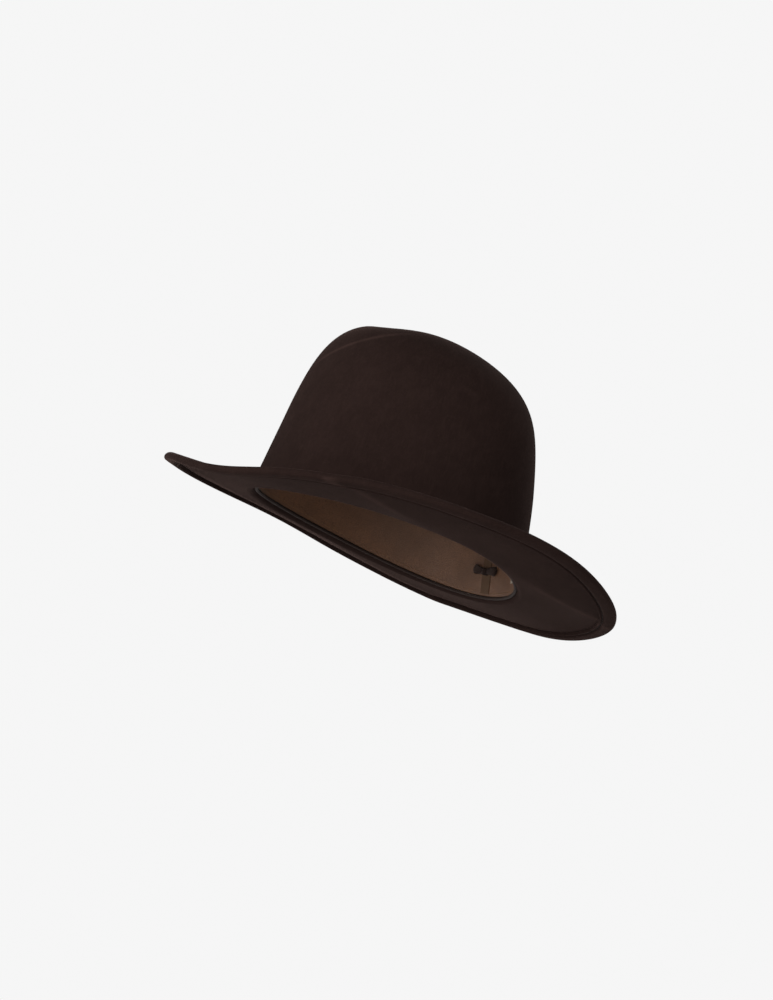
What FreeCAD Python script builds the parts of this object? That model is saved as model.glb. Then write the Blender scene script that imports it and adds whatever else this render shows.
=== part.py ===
"""Wide-brimmed brown felt hat: a centre-dented crown and a hemmed brim whose sides turn up.

Frame: millimetres, +Z up along the crown, the front of the hat towards -Y, +X to the wearer's left,
origin at the centre of the head opening. Angles run round the hat from the front (0 degrees) past
the wearer's left side (90) to the back (180).
"""
import FreeCAD, Part

import math
import os

Vector = FreeCAD.Vector

# Head opening and felt
HEAD_HALF_LENGTH = 100.0
HEAD_HALF_WIDTH = 85.0
BAND_STACK = 4.0              # felt, air and sweatband between the head and the outside of the crown
FELT = 2.6
SIDE_RISE = 3.2               # the crown meets the brim this much higher at the sides than the mean

# Crown
CROWN_HEIGHT = 132.5
CROWN_TOP_SLOPE = 0.15        # the top falls by this share of the distance towards the back
CROWN_TAPER = 0.265           # inward taper at the front and back, over the whole height
CROWN_SIDE_TAPER = 0.08
CROWN_LEAN = -10.0            # the top sits this far forward of the base
CROWN_SHOULDER = 6.6          # exponent of the wall's rounding into the top
CROWN_TOP_FLATNESS = 3.1      # exponent of the top's dome
CROWN_BACK_ROUNDING = -0.43   # the back rounds in earlier than the front
DENT_DEPTH = 11.0
DENT_HALF_WIDTH = 18.0
DENT_HALF_LENGTH = 48.0
DENT_CENTRE_Y = -12.0

# Brim
BRIM_WIDTH = 63.7
BRIM_EXTRA_FRONT = -5.7       # added at the front, taken away at the back
EDGE_SQUARENESS = 2.04        # exponent of the outline, 2 is a plain ellipse
EDGE_HEIGHT_TERMS = (0.1, -2.95, -2.7, -1.3, -2.0, -0.9, -1.5)     # cosine terms, from the 0th
DROOP_POWER = 1.11
CREASE_X = 89.0               # the sides turn up along two lines from front to back, this far out
CREASE_SOFTNESS = 5.0         # half width of the bend
SIDE_SLOPE = 0.21             # rise per distance beyond the crease

# Turned-under hem, its wire and thread
HEM_WIDTH = 11.5
BEAD_SHOULDER = 1.5           # the flat tail starts this far in from the bead's middle
HEM_GAP = 0.12
BEAD_RADIUS = 2.6
WIRE_RADIUS = 0.5
WIRE_DEPTH = 1.6
TUNNEL_RADIUS = 1.0
TUNNEL_WALL = 1.8             # felt left between the tunnel and the brim's edge
JOINER_RADIUS = 0.9
JOINER_BORE = 0.62
JOINER_LENGTH = 14.0
WIRE_CENTRE = (TUNNEL_WALL + TUNNEL_RADIUS, WIRE_DEPTH)
HEM_STITCH_INSET = 2.2        # from the hem's raw edge
THREAD_RADIUS = 0.28

# Sweatband and what is on it
BAND_DEPTH = FELT + 0.65
BAND_THICKNESS = 0.85
BAND_LOW = 2.4
BAND_HIGH = 37.0
BAND_STITCH_HEIGHT = 5.0
REED_RADIUS = 0.8
REED_COVER = 0.35
CLEARANCE = 0.05              # between the reed and its tape, and between thread and what lies on it
REED_HEIGHT = 1.2
REED_DEPTH = BAND_DEPTH + 0.6
SEAM_TAPE_WIDTH = 10.0
SEAM_TAPE_MARGIN = 1.5        # left bare at the band's lower and upper edges
TAB_WIDTH = 20.0
TAB_LOW = 10.4
TAB_HIGH = 22.4
TAB_ANGLE = math.radians(150.0)
PATCH_THICKNESS = 0.4
BOW_LOOP_LENGTH = 12.0
BOW_LOOP_BULGE = 3.4
BOW_RIBBON = 0.45
BOW_RIBBON_WIDTH = 5.0
BOW_KNOT_WIDTH = 3.6
BOW_KNOT_ROUNDING = 0.8
BOW_KNOT_PROUD = 0.4          # the knot stands this far above and below the loops
BOW_STAND_OFF = 0.9           # gap between the seam tape and the loops
BOW_HEIGHT = 20.0

# Lining
LINING = 0.3
LINING_DEPTH = FELT + 0.15
LINING_DROP = 17.0            # the lining hangs this far below the felt of the top
LINING_LOW = 0.20             # share of the crown's height where the side panel starts
LINING_SEAM = 0.86            # and where it meets the tip
PIPING_RADIUS = 0.81
LINING_SEAM_GAP = 0.0088      # share of the crown's height from the seam to each panel's edge

# Control points of the spline faces
COLUMNS = 64
CROWN_ROWS = 36
BRIM_ROWS = 24
TIP_ROWS = 9
DEGREE = 3
CHORD_STEPS = 6               # rounds of finding a distance in from the brim's edge

OUT_HALF_LENGTH = HEAD_HALF_LENGTH + BAND_STACK
OUT_HALF_WIDTH = HEAD_HALF_WIDTH + BAND_STACK
BODY_END = TUNNEL_WALL + TUNNEL_RADIUS + JOINER_RADIUS + 0.05


def series(terms, angle):
    """Sum of terms[k] times cos(k angle)."""
    return sum(term * math.cos(k * angle) for k, term in enumerate(terms))


def signed_power(value, power):
    """abs(value) to the power, with the sign of value."""
    return math.copysign(abs(value) ** power, value)


# ---- surfaces of the hat ---------------------------------------------------------------------

def crown(angle, rise, height=CROWN_HEIGHT, dent=DENT_DEPTH):
    """Outside of the crown: rise is 0 at the brim and 1 at the middle of the top."""
    front = math.cos(angle)
    dome_power = 1.0 / (CROWN_TOP_FLATNESS + CROWN_BACK_ROUNDING * front)
    body = max(0.0, 1.0 - rise ** CROWN_SHOULDER) ** dome_power
    x = OUT_HALF_WIDTH * math.sin(angle) * body * (1.0 - CROWN_SIDE_TAPER * rise)
    y = -OUT_HALF_LENGTH * front * body * (1.0 - CROWN_TAPER * rise) + CROWN_LEAN * rise
    across = math.exp(-(x / DENT_HALF_WIDTH) ** 2)
    along = math.exp(-((y - DENT_CENTRE_Y) / DENT_HALF_LENGTH) ** 4)
    z = rise * (height - CROWN_TOP_SLOPE * y) - dent * across * along
    z -= SIDE_RISE * math.cos(2.0 * angle) * (1.0 - rise)
    return Vector(x, y, z)


def lining_shape(angle, rise):
    """The crown's shape with no dent, lower towards the top, which the lining hangs in."""
    return crown(angle, rise, CROWN_HEIGHT - LINING_DROP * rise ** 3, 0.0)


def brim_edge(angle):
    """Outermost line of the brim, in plan."""
    power = 2.0 / EDGE_SQUARENESS
    half_length = OUT_HALF_LENGTH + BRIM_WIDTH + BRIM_EXTRA_FRONT * math.cos(angle)
    half_width = OUT_HALF_WIDTH + BRIM_WIDTH
    x = half_width * signed_power(math.sin(angle), power)
    return Vector(x, -half_length * signed_power(math.cos(angle), power), 0.0)


def turn_up(x):
    """Rise of the turned-up sides at a distance from the middle: a slope with a rounded start."""
    beyond = abs(x) - CREASE_X
    return SIDE_SLOPE * (math.hypot(beyond, CREASE_SOFTNESS) + beyond) / 2.0


def brim(angle, out):
    """Top of the brim: out is 0 at the crown and 1 at the edge."""
    base = crown(angle, 0.0)
    plan = base + (brim_edge(angle) - base) * out
    crown_share = (1.0 - out) ** 2
    z = (base.z - turn_up(base.x)) * crown_share + turn_up(plan.x)
    return Vector(plan.x, plan.y, z + series(EDGE_HEIGHT_TERMS, angle) * out ** DROOP_POWER)


def normal(surface, angle, along):
    """Unit normal of a surface, pointing up on the brim and outwards on the crown."""
    step = 1e-3
    around = surface(angle + step, along) - surface(angle - step, along)
    outwards = surface(angle, min(along + step, 1.0)) - surface(angle, max(along - step, 0.0))
    around.normalize()
    outwards.normalize()
    turned = outwards.cross(around) if surface is brim else around.cross(outwards)
    return turned.normalize()


def below(surface, angle, along, depth):
    """The point at a depth under a surface."""
    return surface(angle, along) - normal(surface, angle, along) * depth


def wall(angle, height, depth):
    """The point at a height up the crown's wall and a depth inside it."""
    return below(crown, angle, height / CROWN_HEIGHT, depth)


def lining_wall(angle, rise, depth):
    """The point at a rise and a depth inside the lining's shape."""
    return below(lining_shape, angle, rise, depth)


def out_at(angle, inset):
    """The brim's parameter at a distance in from its edge, measured along the surface."""
    edge = brim(angle, 1.0)
    out = 1.0 - inset / BRIM_WIDTH
    for _ in range(CHORD_STEPS):
        out = 1.0 - (1.0 - out) * inset / brim(angle, out).distanceToPoint(edge)
    return out


def rim(angle, inset, depth):
    """The point at a distance in from the brim's edge and a depth under its top."""
    if inset < 1e-6:
        return below(brim, angle, 1.0, depth)
    return below(brim, angle, out_at(angle, inset), depth)


# ---- solids from spline faces ----------------------------------------------------------------

def columns():
    """Angles of the control points round the hat."""
    return [2.0 * math.pi * i / COLUMNS for i in range(COLUMNS)]


def clamped_knots(count):
    """Knots and multiplicities of an open curve that ends on its first and last control points."""
    knots = [float(k) for k in range(count - DEGREE + 1)]
    return knots, [DEGREE + 1] + [1] * (len(knots) - 2) + [DEGREE + 1]


def closed_knots(count):
    """Knots and multiplicities of a closed curve."""
    return [float(k) for k in range(count + 1)], [1] * (count + 1)


def solid_from_net(net, closed_rows):
    """Solid with one spline face that closes round the hat, and along its rows or onto poles."""
    u_knots, u_mults = closed_knots(len(net))
    v_knots, v_mults = closed_knots(len(net[0])) if closed_rows else clamped_knots(len(net[0]))
    surface = Part.BSplineSurface()
    surface.buildFromPolesMultsKnots(net, u_mults, v_mults, u_knots, v_knots,
                                     True, closed_rows, DEGREE, DEGREE)
    solid = Part.Solid(Part.Shell([surface.toShape()]))
    if solid.Volume < 0.0:
        solid.reverse()
    return solid


def ring(section, place):
    """Solid ring: each (a, b) of its closed section goes to place(angle, a, b)."""
    return solid_from_net([[place(angle, a, b) for a, b in section] for angle in columns()], True)


def patch(section, place, angles):
    """Solid strip that sweeps a closed section through the angles and closes flat at both ends."""
    middle = [sum(values) / len(section) for values in zip(*section)]
    first, last = place(angles[0], *middle), place(angles[-1], *middle)
    net = []
    for a, b in section:
        points = [place(angle, a, b) for angle in angles]
        net.append([first] + points[:1] + points + points[-1:] + [last])
    return solid_from_net(net, False)


def arc(centre, radius, start, end, count):
    """Points of an arc in a section, with angles in degrees."""
    turns = [math.radians(start + (end - start) * i / (count - 1)) for i in range(count)]
    return [(centre[0] + radius * math.cos(t), centre[1] + radius * math.sin(t)) for t in turns]


def circle(centre, radius):
    """Closed round section."""
    return arc(centre, radius, 0.0, 360.0, 13)[:-1]


def side(start, end, count):
    """Evenly spaced points of a straight side of a section, from start to just short of end."""
    shares = [i / count for i in range(count)]
    return [(start[0] + (end[0] - start[0]) * t, start[1] + (end[1] - start[1]) * t) for t in shares]


def slab(low, high, near, far, count):
    """Closed flat section, with its corners doubled so that they stay square."""
    corners = [(low, near), (high, near), (high, far), (low, far)]
    section = []
    for k, corner in enumerate(corners):
        section += [corner] + side(corner, corners[(k + 1) % 4], 1 if k % 2 else count)
    return section


def crown_steps(first, last, count):
    """Rises that are evenly spaced along the profile of the crown's side."""
    fine = 1200
    rises = [last - (last - first) * (1.0 - i / fine) ** 4 for i in range(fine + 1)]
    points = [crown(math.pi / 2.0, rise, dent=0.0) for rise in rises]
    travelled = [0.0]
    for here, there in zip(points, points[1:]):
        travelled.append(travelled[-1] + here.distanceToPoint(there))
    goals = [travelled[-1] * i / count for i in range(count + 1)]
    return [rises[min(range(fine + 1), key=lambda k: abs(travelled[k] - goal))] for goal in goals]


def pole(shape, depth):
    """The point at a depth under the middle of the top."""
    up = Vector(0.0, CROWN_TOP_SLOPE, 1.0).normalize()
    return shape(0.0, 1.0) - up * depth


# ---- felt ------------------------------------------------------------------------------------

def felt_body():
    """Crown and brim, blocked from one felt, as one face: over the top, out, and back underneath."""
    rises = crown_steps(0.0, 1.0, CROWN_ROWS)[1:-1]
    net = []
    for angle in columns():
        last = out_at(angle, BODY_END)
        outs = [last * i / BRIM_ROWS for i in range(1, BRIM_ROWS + 1)]
        corner = crown(angle, 0.0)
        inner_corner = below(crown, angle, 0.0, FELT) + below(brim, angle, 0.0, FELT) - corner
        top = [crown(angle, rise) for rise in reversed(rises)] + [corner]
        top += [brim(angle, out) for out in outs]
        under = [below(brim, angle, out, FELT) for out in reversed(outs)] + [inner_corner]
        under += [below(crown, angle, rise, FELT) for rise in rises]
        net.append([pole(crown, 0.0)] + top + top[-1:] + under[:1] + under + [pole(crown, FELT)])
    return solid_from_net(net, False)


def brim_hem():
    """The brim's margin turned under: a bead round the wire's tunnel and a flat tail below."""
    face = BODY_END - HEM_GAP
    flat = FELT + HEM_GAP
    bottom = 2.0 * BEAD_RADIUS
    section = arc((BEAD_RADIUS, BEAD_RADIUS), BEAD_RADIUS, -90.0, -270.0, 9)
    section += side((BEAD_RADIUS + BEAD_SHOULDER, bottom), (HEM_WIDTH, bottom), 3) + [(HEM_WIDTH, bottom)] * 2
    section += [(HEM_WIDTH, flat)] + side((HEM_WIDTH, flat), (face, flat), 3) + [(face, flat)]
    section += arc(WIRE_CENTRE, TUNNEL_RADIUS, 90.0, 270.0, 7)
    section += [(face, WIRE_DEPTH - TUNNEL_RADIUS), (face, 0.0)]
    return ring(section, rim)


def hem_stitching():
    """Line of thread along the hem's raw edge."""
    centre = (HEM_WIDTH - HEM_STITCH_INSET, 2.0 * BEAD_RADIUS + THREAD_RADIUS)
    return ring(circle(centre, THREAD_RADIUS), rim)


# ---- brim wire -------------------------------------------------------------------------------

def brim_wire():
    """Spring-steel wire that holds the brim's outline."""
    return ring(circle(WIRE_CENTRE, WIRE_RADIUS), rim)


def wire_joiner():
    """Crimped sleeve over the wire's butted ends, at the back."""
    step = 2.0 * math.pi / COLUMNS
    back, left, right = [rim(math.pi + turn, *WIRE_CENTRE) for turn in (0.0, -step, step)]
    centre = (back * 4.0 + left + right) / 6.0
    start = centre - Vector(JOINER_LENGTH / 2.0, 0.0, 0.0)
    sleeve = Part.makeCylinder(JOINER_RADIUS, JOINER_LENGTH, start, Vector(1.0, 0.0, 0.0))
    return sleeve.cut(Part.makeCylinder(JOINER_BORE, JOINER_LENGTH, start, Vector(1.0, 0.0, 0.0)))


# ---- sweatband -------------------------------------------------------------------------------

def sweatband():
    """Leather band against the head."""
    return ring(slab(BAND_LOW, BAND_HIGH, BAND_DEPTH, BAND_DEPTH + BAND_THICKNESS, 6), wall)


def sweatband_reed():
    """Plastic rod that stiffens the sweatband's lower edge."""
    return ring(circle((REED_HEIGHT, REED_DEPTH), REED_RADIUS), wall)


def reed_cover():
    """Tape folded round the reed and open upwards, where the leather enters."""
    centre = (REED_HEIGHT, REED_DEPTH)
    inner = REED_RADIUS + CLEARANCE
    section = arc(centre, inner + REED_COVER, 45.0, 315.0, 12) + arc(centre, inner, 315.0, 45.0, 12)
    return ring(section, wall)


def sweatband_stitching():
    """Line of thread that holds the reed's tape to the leather."""
    depth = BAND_DEPTH + BAND_THICKNESS + THREAD_RADIUS
    return ring(circle((BAND_STITCH_HEIGHT, depth), THREAD_RADIUS), wall)


def band_patch(middle, width, low, high):
    """Flat piece on the inner face of the sweatband."""
    near = BAND_DEPTH + BAND_THICKNESS + 2.0 * THREAD_RADIUS + CLEARANCE
    half = width / 2.0 / HEAD_HALF_WIDTH
    section = slab(low, high, near, near + PATCH_THICKNESS, 5)
    return patch(section, wall, [middle + half * k / 3.0 for k in range(-3, 4)])


def back_seam_tape():
    """Tape over the butt seam of the sweatband, at the back."""
    return band_patch(math.pi, SEAM_TAPE_WIDTH, BAND_LOW + SEAM_TAPE_MARGIN,
                      BAND_HIGH - SEAM_TAPE_MARGIN)


def size_tab():
    """Blank tab on the sweatband, towards the back of the left side."""
    return band_patch(TAB_ANGLE, TAB_WIDTH, TAB_LOW, TAB_HIGH)


def sweatband_bow():
    """Small flat bow over the back seam: two loops and a knot of one ribbon."""
    depth = BAND_DEPTH + BAND_THICKNESS + 2.0 * THREAD_RADIUS + PATCH_THICKNESS
    middle = wall(math.pi, BOW_HEIGHT, depth + BOW_LOOP_BULGE / 2.0 + BOW_STAND_OFF)
    low = middle - Vector(0.0, 0.0, BOW_RIBBON_WIDTH / 2.0)
    half = (BOW_LOOP_LENGTH / 2.0, BOW_LOOP_BULGE / 2.0)
    lift = Vector(0.0, 0.0, BOW_RIBBON_WIDTH)
    knot = Part.makeBox(BOW_KNOT_WIDTH, BOW_LOOP_BULGE, BOW_RIBBON_WIDTH + 2.0 * BOW_KNOT_PROUD,
                        low - Vector(BOW_KNOT_WIDTH / 2.0, half[1], BOW_KNOT_PROUD))
    bow = knot.makeFillet(BOW_KNOT_ROUNDING, knot.Edges)
    for turn in (-1.0, 1.0):
        centre = low + Vector(turn * half[0], 0.0, 0.0)
        outer = Part.Face(Part.Wire(Part.Ellipse(centre, half[0], half[1]).toShape())).extrude(lift)
        bore = Part.Ellipse(centre, half[0] - BOW_RIBBON, half[1] - BOW_RIBBON).toShape()
        loop = outer.cut(Part.Face(Part.Wire(bore)).extrude(lift))
        bow = bow.fuse(loop)
    return bow


# ---- lining ----------------------------------------------------------------------------------

def lining_side():
    """Satin panel round the inside of the crown, tucked behind the sweatband."""
    near = LINING_DEPTH
    return ring(slab(LINING_LOW, LINING_SEAM - LINING_SEAM_GAP, near, near + LINING, 14), lining_wall)


def lining_tip():
    """Oval satin panel under the top of the crown."""
    rises = crown_steps(LINING_SEAM + LINING_SEAM_GAP, 1.0, TIP_ROWS)[:-1]
    net = []
    for angle in columns():
        top = [lining_wall(angle, rise, LINING_DEPTH) for rise in reversed(rises)]
        under = [lining_wall(angle, rise, LINING_DEPTH + LINING) for rise in rises]
        net.append([pole(lining_shape, LINING_DEPTH)] + top + top[-1:] + under[:1] + under
                   + [pole(lining_shape, LINING_DEPTH + LINING)])
    return solid_from_net(net, False)


def lining_piping():
    """Cord sewn into the seam between the side panel and the tip."""
    def place(angle, along, depth):
        return lining_wall(angle, LINING_SEAM + along / CROWN_HEIGHT, depth)
    return ring(circle((0.0, LINING_DEPTH + LINING / 2.0), PIPING_RADIUS), place)


PARTS = (felt_body, brim_hem, hem_stitching, brim_wire, wire_joiner, sweatband, sweatband_reed,
         reed_cover, sweatband_stitching, back_seam_tape, size_tab, sweatband_bow,
         lining_side, lining_tip, lining_piping)

os.makedirs("parts", exist_ok=True)
for make in PARTS:
    shape = make()
    box = shape.BoundBox
    print(f"{make.__name__:20s} valid {shape.isValid()} volume {shape.Volume / 1000.0:8.2f} cm3 "
          f"x {box.XMin:7.1f} {box.XMax:7.1f} y {box.YMin:7.1f} {box.YMax:7.1f} "
          f"z {box.ZMin:6.1f} {box.ZMax:6.1f}")
    shape.exportStep(f"parts/{make.__name__}.step")
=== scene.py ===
"""A wide-brimmed brown felt hat: dented crown, hemmed brim turned up at the sides, and its inside.

Metres, +Z up along the crown, the front of the hat towards -Y, +X to the wearer's left, and the origin
at the centre of the head opening. Angles run round the hat from the front (0) past the left side.
"""

import logging
import math
from dataclasses import dataclass
from typing import Callable

import bmesh
import bpy
import numpy as np
from mathutils import Matrix, Vector


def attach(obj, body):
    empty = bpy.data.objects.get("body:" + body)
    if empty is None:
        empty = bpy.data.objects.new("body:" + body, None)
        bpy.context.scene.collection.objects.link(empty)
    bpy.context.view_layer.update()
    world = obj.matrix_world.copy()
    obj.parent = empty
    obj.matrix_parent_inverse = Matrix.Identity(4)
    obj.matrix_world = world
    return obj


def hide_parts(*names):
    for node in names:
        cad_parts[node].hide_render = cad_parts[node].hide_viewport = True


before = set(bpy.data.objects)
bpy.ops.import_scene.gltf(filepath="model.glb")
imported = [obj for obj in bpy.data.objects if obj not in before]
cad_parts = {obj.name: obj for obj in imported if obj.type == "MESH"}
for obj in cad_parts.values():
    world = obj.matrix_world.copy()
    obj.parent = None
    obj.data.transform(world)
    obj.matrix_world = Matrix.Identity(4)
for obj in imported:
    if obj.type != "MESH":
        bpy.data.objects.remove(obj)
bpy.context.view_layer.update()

LOG = logging.getLogger("hat")
ROOT = "root"
MM = 0.001
FULL_TURN = 2.0 * math.pi

Array = np.ndarray
Colour = tuple[float, float, float]
Place = Callable[[Array, Array, Array], Array]


# ---- arrays and meshes -----------------------------------------------------------------------

def vectors(x: Array, y: Array, z: Array) -> Array:
    """Points from three arrays of coordinates."""
    return np.stack(np.broadcast_arrays(x, y, z), axis=-1)


def unit(v: Array) -> Array:
    """Vectors brought to length 1."""
    return v / np.maximum(np.linalg.norm(v, axis=-1, keepdims=True), 1e-12)


def series(terms: tuple[float, ...], angle: Array) -> Array:
    """Sum of terms[k] times cos(k angle)."""
    return sum(term * np.cos(k * angle) for k, term in enumerate(terms))


def smooth_step(value: Array, low: float, high: float) -> Array:
    """0 below low, 1 above high and 3t^2 - 2t^3 between."""
    t = np.clip((value - low) / (high - low), 0.0, 1.0)
    return t * t * (3.0 - 2.0 * t)


def ripple(*waves: tuple[float, Array]) -> Array:
    """Sum of sines, each with its own amplitude and phase array."""
    return sum(size * np.sin(phase) for size, phase in waves)


def spline_rows(points: Array, parts: int) -> Array:
    """Uniform cubic B-spline along axis 1, clamped by repeating the ends.

    Between control points P0..P3 the curve is the usual blend: (1-t)^3/6 of P0, (3t^3-6t^2+4)/6 of
    P1, (-3t^3+3t^2+3t+1)/6 of P2 and t^3/6 of P3.

    Args:
        points: control points, shaped (columns, rows, 3).
        parts: samples for each span.

    Returns:
        The curve's points, shaped (columns, samples, 3).
    """
    padded = np.concatenate([points[:, :1], points[:, :1], points, points[:, -1:], points[:, -1:]], axis=1)
    t = (np.arange(parts) / parts)[None, None, :, None]
    p0, p1, p2, p3 = (padded[:, k:padded.shape[1] - 3 + k, None] for k in range(4))
    curve = ((1 - t) ** 3 * p0 + (3 * t ** 3 - 6 * t ** 2 + 4) * p1
             + (-3 * t ** 3 + 3 * t ** 2 + 3 * t + 1) * p2 + t ** 3 * p3) / 6.0
    flat = curve.reshape(points.shape[0], -1, 3)
    return np.concatenate([flat, points[:, -1:]], axis=1)


def new_object(name: str, vertices: Array, faces: Array, uv: Array) -> bpy.types.Object:
    """A smooth-shaded object from arrays, with coincident points merged so that seams and poles close.

    Args:
        name: the piece's name.
        vertices: points, shaped (n, 3).
        faces: vertex indices, shaped (m, 4).
        uv: one (u, v) for each face corner, shaped (m, 4, 2).

    Returns:
        The new object, at the origin.
    """
    mesh = bpy.data.meshes.new(name)
    mesh.vertices.add(len(vertices))
    mesh.vertices.foreach_set("co", vertices.astype(np.float32).ravel())
    mesh.loops.add(faces.size)
    mesh.loops.foreach_set("vertex_index", faces.astype(np.int32).ravel())
    mesh.polygons.add(len(faces))
    mesh.polygons.foreach_set("loop_start", np.arange(0, faces.size, 4, dtype=np.int32))
    layer = mesh.uv_layers.new(name="UVMap")
    layer.data.foreach_set("uv", uv.astype(np.float32).ravel())
    mesh.update(calc_edges=True)
    made = bmesh.new()
    made.from_mesh(mesh)
    bmesh.ops.remove_doubles(made, verts=made.verts, dist=2e-7)
    made.to_mesh(mesh)
    made.free()
    mesh.polygons.foreach_set("use_smooth", np.ones(len(mesh.polygons), dtype=bool))
    mesh.update()
    piece = bpy.data.objects.new(name, mesh)
    bpy.context.scene.collection.objects.link(piece)
    return piece


def lengths(points: Array, axis: int) -> Array:
    """Distances travelled along one axis of a grid, the widest at each step, from 0."""
    steps = np.linalg.norm(np.diff(points, axis=axis, append=np.take(points, [0], axis)), axis=-1)
    widest = steps.max(axis=tuple(k for k in range(steps.ndim) if k != axis))
    return np.concatenate([[0.0], widest.cumsum()])


def grid_object(name: str, points: Array, closed_columns: bool = True,
                closed_rows: bool = True) -> bpy.types.Object:
    """An object whose surface is a grid of points, with UVs in metres along its columns and rows.

    Args:
        name: the piece's name.
        points: shaped (columns, rows, 3), or (copies, columns, rows, 3) for many like grids.
        closed_columns: the last column joins the first.
        closed_rows: the last row joins the first.

    Returns:
        The new object.
    """
    grids = points if points.ndim == 4 else points[None]
    copies, columns, rows = grids.shape[:3]
    index = np.arange(copies * columns * rows).reshape(copies, columns, rows)
    i, j = np.meshgrid(np.arange(columns - (not closed_columns)), np.arange(rows - (not closed_rows)),
                       indexing="ij")
    i2, j2 = (i + 1) % columns, (j + 1) % rows
    faces = np.stack([index[:, i, j], index[:, i2, j], index[:, i2, j2], index[:, i, j2]], axis=-1)
    u, v = lengths(grids[0], 0), lengths(grids[0], 1)
    corners = [(u[i], v[j]), (u[i + 1], v[j]), (u[i + 1], v[j + 1]), (u[i], v[j + 1])]
    uv = np.stack([np.stack(corner, axis=-1) for corner in corners], axis=-2)
    uv = np.broadcast_to(uv, (copies, *uv.shape))
    return new_object(name, grids.reshape(-1, 3), faces.reshape(-1, 4), uv.reshape(-1, 4, 2))


# ---- the hat's own surfaces ------------------------------------------------------------------

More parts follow.
